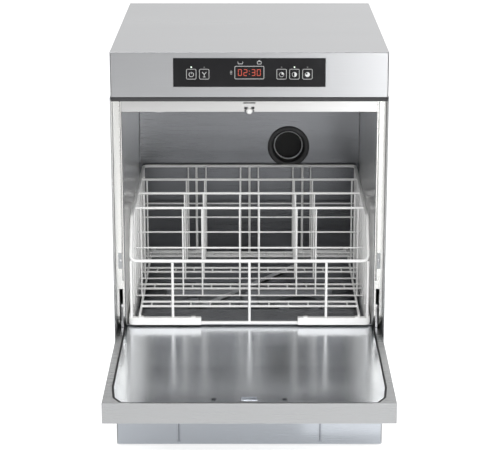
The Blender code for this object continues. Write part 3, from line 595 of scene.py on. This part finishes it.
def make_jamb_fittings():
    """On each upright: a seam, a bright bead, a plate behind the slot and the bolt that shows in it."""
    low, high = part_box("jamb_right")
    front = low.y
    seam_low, seam_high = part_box("hinge_lug_right")[1].z + 0.045, high.z - 0.004
    slot_x, slot_z = JAMB_SLOT
    wide, tall = SLOT_PLATE
    seams, beads, plates, bolts = bmesh.new(), bmesh.new(), bmesh.new(), bmesh.new()
    for sign in (-1, 1):
        x = sign * (low.x + 0.0020)
        add_box(seams, (x - 0.0004, front - 0.0001, seam_low), (x + 0.0004, front + 0.0004, seam_high))
        x = sign * (low.x + 0.0033)
        add_bar(beads, (x, front + 0.0001, seam_low), (x, front + 0.0001, seam_high), 0.0007, 12)
        x = sign * slot_x
        add_box(plates, (x - wide, front + 0.0015, slot_z - tall), (x + wide, front + 0.0024, slot_z + tall))
        add_turned(bolts, BOLT_HEAD, (x, front + 0.0016, slot_z), (0, -1, 0), 24)
    to_object("jamb_seams", seams, rubber, CABINET)
    to_object("jamb_beads", beads, bright_z, CABINET)
    to_object("jamb_slot_plates", plates, dull_steel, CABINET)
    to_object("jamb_bolts", bolts, pin_steel, CABINET)


PLINTH_RIB = 0.117                  # from the middle to each groove of the plinth


def make_plinth_ribs():
    """The half-round ribs in the plinth's two grooves."""
    low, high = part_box("plinth_front")
    bm = bmesh.new()
    for x in (-PLINTH_RIB, PLINTH_RIB):
        add_bar(bm, (x, low.y + 0.0015, low.z + 0.006), (x, low.y + 0.0015, high.z - 0.001), 0.0013, 16)
    # painted shade: the ribs are in the dark steel, standing for the shade in the grooves
    to_object("plinth_ribs", bm, shaded_rib_steel, CABINET)


def make_screws():
    """The screws that hold the rear panel."""
    low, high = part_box("rear_panel")
    bm = bmesh.new()
    for x in (low.x + 0.012, 0.0, high.x - 0.012):
        for z in (low.z + 0.014, (low.z + high.z) / 2, high.z - 0.010):
            add_screw(bm, (x, high.y, z), (0, 1, 0), 0.0036, 0.0018)
    to_object("rear_screws", bm, pin_steel, CABINET)


# ---------------------------------------------------------------- controls

PRINT_THICKNESS = 0.00018
PRINT_SUNK = 0.00003        # how deep the back of a print lies in its surface
PRINT_LINE = 0.0006
ICON_LINE = 0.0007
ICON_RADIUS = 0.0036


def flat_shape(bm, outline, depth):
    """A printed shape: a thin plate in the panel's plane; outline points are (x, z)."""
    pushed_out(bm, bm.faces.new([bm.verts.new((x, depth, z)) for x, z in outline]), (0, -PRINT_THICKNESS, 0))


def line(bm, points, width, depth, closed=False):
    """A printed line of even width through these (x, z) points."""
    points = [Vector(p) for p in points]
    count = len(points)
    inner, outer = [], []
    for i, point in enumerate(points):
        before = points[(i - 1) % count] if closed or i > 0 else None
        after = points[(i + 1) % count] if closed or i < count - 1 else None
        run = Vector((0.0, 0.0))
        if before is not None:
            run += (point - before).normalized()
        if after is not None:
            run += (after - point).normalized()
        run.normalize()
        normal = Vector((-run.y, run.x))
        lean = 1.0
        if before is not None and after is not None:
            ahead = (after - point).normalized()
            lean = max(0.5, normal.dot(Vector((-ahead.y, ahead.x))))
        inner.append(point - normal * width / 2 / lean)
        outer.append(point + normal * width / 2 / lean)
    for i in range(count if closed else count - 1):
        j = (i + 1) % count
        flat_shape(bm, [inner[i], inner[j], outer[j], outer[i]], depth)


def circle(centre, radius, start=0.0, end=360.0, steps=24):
    """Points round a circle or an arc, the angles in degrees."""
    count = steps if end - start == 360.0 else steps + 1
    angles = [math.radians(start + (end - start) * i / steps) for i in range(count)]
    return [(centre[0] + radius * math.cos(a), centre[1] + radius * math.sin(a)) for a in angles]


def rounded_square(centre, width, height, radius):
    points = []
    for sx, sy, start in ((1, 1, 0), (-1, 1, 90), (-1, -1, 180), (1, -1, 270)):
        middle = (centre[0] + sx * (width / 2 - radius), centre[1] + sy * (height / 2 - radius))
        points += circle(middle, radius, start, start + 90.0, 4)
    return points


def pie(bm, centre, radius, turn, depth):
    """A filled part of a disc, from the top clockwise."""
    flat_shape(bm, [centre] + circle(centre, radius, 90.0 - turn, 90.0, max(4, int(turn / 12))), depth)


CYCLE_TURNS = {"key_cycle_short": 90.0, "key_cycle_medium": 180.0, "key_cycle_long": 270.0}
KEYS = ("key_power", "key_rinse", *CYCLE_TURNS)
LIT_KEYS = ("key_power", "key_cycle_medium")


def key_icon(bm, name, centre, depth):
    """A switch sign, a glass on its stem, or a dial filled by the length of the cycle."""
    x, z = centre
    size = ICON_RADIUS
    if name == "key_power":
        line(bm, circle(centre, size, 120.0, 420.0, 20), ICON_LINE, depth)
        line(bm, [(x, z + 0.0008), (x, z + size + 0.0006)], ICON_LINE, depth)
    elif name == "key_rinse":
        line(bm, [(x - 0.0034, z + 0.0040), (x, z), (x + 0.0034, z + 0.0040)], ICON_LINE, depth)
        line(bm, [(x, z), (x, z - size)], ICON_LINE, depth)
        line(bm, [(x - 0.0020, z - 0.0038), (x + 0.0020, z - 0.0038)], ICON_LINE, depth)
    else:
        line(bm, circle(centre, size), 0.0005, depth, closed=True)
        pie(bm, centre, size - 0.0002, CYCLE_TURNS[name], depth)


SEGMENTS = {"0": "abcdef", "2": "abged", "3": "abgcd"}
DIGIT_SIZE = (0.0050, 0.0096)
DIGIT_XS = (-0.0148, -0.0062, 0.0062, 0.0148)
COLON = 0.0024              # each dot's distance from the middle


def digit(bm, value, centre, depth):
    """One seven-segment digit."""
    w, h = DIGIT_SIZE[0] / 2, DIGIT_SIZE[1] / 2
    ends = {"a": ((-w, h), (w, h)), "b": ((w, h), (w, 0)), "c": ((w, 0), (w, -h)), "d": ((-w, -h), (w, -h)),
            "e": ((-w, 0), (-w, -h)), "f": ((-w, h), (-w, 0)), "g": ((-w, 0), (w, 0))}
    for name in SEGMENTS[value]:
        start, end = (Vector(p) for p in ends[name])
        trim = (end - start).normalized() * PRINT_LINE * 0.45
        line(bm, [Vector(centre) + start + trim, Vector(centre) + end - trim], PRINT_LINE, depth)


def make_keys():
    """The five keys with their prints, and a lamp over each."""
    lamp_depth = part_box("control_glass")[0].y + PRINT_SUNK
    lamps_lit, lamps_dark = bmesh.new(), bmesh.new()
    for name in KEYS:
        refined(name, key_black, edge=0.0002, round_axis=Y, round_by=0.0014)
        low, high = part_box(name)
        x, z = (low.x + high.x) / 2, (low.z + high.z) / 2
        bm = bmesh.new()
        depth = low.y + PRINT_SUNK
        line(bm, rounded_square((x, z), 0.0150, 0.0158, 0.0018), 0.00055, depth, closed=True)
        key_icon(bm, name, (x, z - 0.0006), depth)
        to_object(name + "_print", bm, print_grey, name)
        lamp = circle((x, high.z + 0.0026), 0.0011, steps=16)
        flat_shape(lamps_lit if name in LIT_KEYS else lamps_dark, lamp, lamp_depth)
    to_object("lamps_lit", lamps_lit, led_green, CABINET)
    to_object("lamps_dark", lamps_dark, led_dark, CABINET)


def make_display():
    """The digits, and the printed marks on the glass round them."""
    low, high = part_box("display_window")
    middle = (low.z + high.z) / 2
    digits = bmesh.new()
    depth = low.y + PRINT_SUNK
    for value, x in zip("0230", DIGIT_XS):
        digit(digits, value, (x, middle), depth)
    for z in (-COLON, COLON):
        flat_shape(digits, circle((0.0, middle + z), 0.0006, steps=10), depth)
    to_object("display_digits", digits, display_red, CABINET)

    marks = bmesh.new()
    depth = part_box("control_glass")[0].y + PRINT_SUNK
    frame_size = (high.x - low.x + 0.0012, high.z - low.z + 0.0012)
    line(marks, rounded_square((0.0, middle), *frame_size, 0.0016), PRINT_LINE, depth, closed=True)
    top = high.z + 0.0062
    bowl = [(-0.0180, top + 0.0018), (-0.0172, top - 0.0018), (-0.0108, top - 0.0018), (-0.0100, top + 0.0018)]
    line(marks, bowl, PRINT_LINE, depth)
    line(marks, rounded_square((0.0155, top), 0.0062, 0.0042, 0.0010), PRINT_LINE, depth, closed=True)
    line(marks, [(0.0140, top + 0.0034), (0.0170, top + 0.0034)], PRINT_LINE, depth)
    for offset in (-0.00224, 0.0, 0.00224):
        line(marks, [(-0.0300, middle + offset), (-0.0270, middle + offset)], PRINT_LINE, depth)
    to_object("panel_marks", marks, print_grey, CABINET)


def make_controls():
    refined("control_glass", glass_black, edge=0.0003, round_axis=Y, round_by=0.0016)
    refined("display_window", glass_black, edge=0.0002, round_axis=Y, round_by=0.0012)
    refined("control_board", board_green, edge=0.0003)
    make_keys()
    make_display()


# ---------------------------------------------------------------- chamber

def make_chamber():
    liner = refined("chamber_liner", shaded_chamber_steel, edge=0.0003, corner=0.002, inside=0.008,
                    segments=5)
    # painted light and shade: the liner's side walls take the bright steel, its back and floor the dark one
    second_tone(liner, lit_chamber_side, lambda face: abs(face.normal.x) > 0.9)
    refined("tank", shaded_chamber_steel, edge=0.0003, inside=0.006, segments=4)
    refined("basket_rails", brushed_y, edge=0.0012)
    refined("filter_plate", shaded_chamber_steel, edge=0.0002)
    refined("strainer_basket", grey_plastic, edge=0.0005)
    refined("overflow_pipe", grey_plastic, edge=0.0005)
    keep("tank_heater", pin_steel)
    for level in ("lower", "upper"):
        refined(f"{level}_hub", grey_plastic, edge=0.0006)
        refined(f"{level}_wash_arm", grey_plastic, edge=0.0016)
        refined(f"{level}_rinse_arm", pin_steel, edge=0.0010)
    make_port()


PORT_BORE = 0.0268
PORT_NECK = 0.0317
PORT_DEPTH = 0.0300
PORT_RING = [(0.0185, 0.0268), (0.0152, 0.0268), (0.0146, 0.0262), (0.0146, 0.0254), (0.0152, 0.0249),
             (0.0185, 0.0248), (0.0185, 0.0268)]


def make_port():
    """The round port in the rear wall: a black flange, a bore, and a grey ring set back inside it."""
    low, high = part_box("vent_port")
    centre = ((low.x + high.x) / 2, low.y, (low.z + high.z) / 2)
    radius = (high.x - low.x) / 2
    bm = bmesh.new()
    profile = [(0.0270, 0.0), (0.0270, PORT_BORE), (0.0040, 0.0285), (0.0010, 0.0300), (0.0, 0.0320),
               (0.0, radius - 0.0022), (0.0008, radius - 0.0006), (0.0030, radius), (0.0031, PORT_NECK),
               (PORT_DEPTH, PORT_NECK), (PORT_DEPTH, 0.0)]
    add_turned(bm, profile, centre, (0, 1, 0), 64)
    flange = to_object("port_flange", bm, black_plastic, CABINET)
    # painted shade: the bore's faces are painted darker than the flange
    second_tone(flange, bore_shade_black, lambda face: (face.center - Vector(centre)).xz.length < PORT_BORE + 0.0007)
    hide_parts("vent_port")
    bm = bmesh.new()
    add_turned(bm, PORT_RING, centre, (0, 1, 0), 64)
    to_object("port_ring", bm, ring_plastic, CABINET)


# ---------------------------------------------------------------- feet and service gear

def make_underside():
    for end in ("front", "rear"):
        for side in ("left", "right"):
            refined(f"foot_{end}_{side}", black_plastic, edge=0.0010)
    refined("wash_pump", grey_plastic, edge=0.0020)
    refined("drain_pump", black_plastic, edge=0.0015)
    refined("dosing_pump", blue_plastic, edge=0.0015)
    refined("boiler", brushed_y, edge=0.0030)
    refined("inlet_valve", blue_plastic, edge=0.0008)
    refined("cable_gland", black_plastic, edge=0.0006)
    keep("delivery_pipe", rubber)


# ---------------------------------------------------------------- stage

FLOOR_REACH = 14.0
# the floor's painted glow and painted shade change along Y between these two places
FLOOR_RISE = (-2.6, -0.12)          # where along Y the floor starts and stops growing lighter
CAMERA_PITCH = 15.85                # degrees below level
CAMERA_BACK = 2.739                 # from the cabinet's front
CAMERA_HEIGHT = 1.160


def area_light(name, place, target, size, power):
    data = bpy.data.lights.new(name, "AREA")
    data.shape = "RECTANGLE"
    data.size, data.size_y = size
    data.energy = power
    lamp = bpy.data.objects.new(name, data)
    lamp.location = place
    lamp.visible_camera = False
    lamp.rotation_euler = (Vector(target) - Vector(place)).to_track_quat("-Z", "Y").to_euler()
    bpy.context.scene.collection.objects.link(lamp)


def along_axis(nodes, links, output, axis, start, end, low=0.0, high=1.0):
    """A texture coordinate along one axis, mapped from the range start to end onto the range low to high."""
    where = nodes.new("ShaderNodeTexCoord")
    split = nodes.new("ShaderNodeSeparateXYZ")
    links.new(where.outputs[output], split.inputs["Vector"])
    made = nodes.new("ShaderNodeMapRange")
    for socket, value in (("From Min", start), ("From Max", end), ("To Min", low), ("To Max", high)):
        made.inputs[socket].default_value = value
    links.new(split.outputs[axis], made.inputs["Value"])
    return made.outputs["Result"]


def make_floor():
    """A pale floor with painted light: it glows and grows lighter towards the back, and its front is painted darker
    as shade.
    """
    bm = bmesh.new()
    bmesh.ops.create_grid(bm, x_segments=2, y_segments=2, size=FLOOR_REACH)
    mesh = bpy.data.meshes.new("floor")
    bm.to_mesh(mesh)
    bm.free()
    floor_material, nodes, links, shader = new_material("floor_painted_light", (0.86, 0.86, 0.86), 0.7)
    shader.inputs["Specular IOR Level"].default_value = 0.0
    rise = along_axis(nodes, links, "Object", "Y", *FLOOR_RISE)
    shader.inputs["Emission Color"].default_value = (1.0, 1.0, 1.0, 1.0)
    # painted light: the floor glows, weakly at the front and strongly at the back; painted shade: its colour is
    # darker at the front
    links.new(ramp(nodes, links, rise, 0.12, 0.62, 0.0, 1.0), shader.inputs["Emission Strength"])
    links.new(ramp(nodes, links, rise, 0.60, 0.86, 0.0, 1.0), shader.inputs["Base Color"])
    mesh.materials.append(floor_material)
    floor = bpy.data.objects.new("floor", mesh)
    bpy.context.scene.collection.objects.link(floor)


def make_world():
    """Even white light from all round, a little stronger from the right and from behind."""
    world = bpy.data.worlds.new("studio")
    world.use_nodes = True
    nodes, links = world.node_tree.nodes, world.node_tree.links
    side = along_axis(nodes, links, "Generated", "X", -0.6, 0.6, 0.40, 0.80)
    back = along_axis(nodes, links, "Generated", "Y", -0.5, 0.5, 0.75, 1.55)
    both = nodes.new("ShaderNodeMath")
    both.operation = "MULTIPLY"
    links.new(side, both.inputs[0])
    links.new(back, both.inputs[1])
    background = nodes["Background"]
    links.new(both.outputs["Value"], background.inputs["Strength"])
    background.inputs["Color"].default_value = (1.0, 1.0, 1.0, 1.0)
    bpy.context.scene.world = world
    bpy.context.scene.view_settings.view_transform = "Standard"


def make_lights():
    area_light("key_right", (2.2, -2.2, 2.3), (0.0, 0.0, 0.35), (2.4, 2.2), 22.0)
    area_light("front_high", (-0.4, -3.3, 2.5), (0.0, 0.1, 0.30), (2.6, 1.5), 75.0)
    area_light("overhead", (0.5, 0.6, 3.0), (0.0, 0.1, 0.3), (2.4, 2.4), 7.0)
    area_light("card_right", (0.86, -2.35, 0.35), (0.1, -0.1, 0.60), (0.9, 0.7), 9.5)
    area_light("card_plinth", (0.34, -0.32, 0.003), (0.34, -0.32, 1.0), (0.50, 0.34), 0.30)


def make_camera():
    """The camera stands well back, above the machine, and looks down at it."""
    data = bpy.data.cameras.new("camera")
    data.sensor_width = 36.0
    data.lens = 127.8
    camera = bpy.data.objects.new("camera", data)
    camera.location = (0.001, FRONT_Y - CAMERA_BACK, CAMERA_HEIGHT)
    camera.rotation_euler = (math.radians(90.0 - CAMERA_PITCH), 0.0, 0.0)
    bpy.context.scene.collection.objects.link(camera)
    bpy.context.scene.camera = camera


make_camera()
make_floor()
make_world()
make_lights()
make_cabinet()
make_jamb_fittings()
make_plinth_ribs()
make_screws()
make_door()
make_controls()
make_chamber()
make_basket()
make_underside()
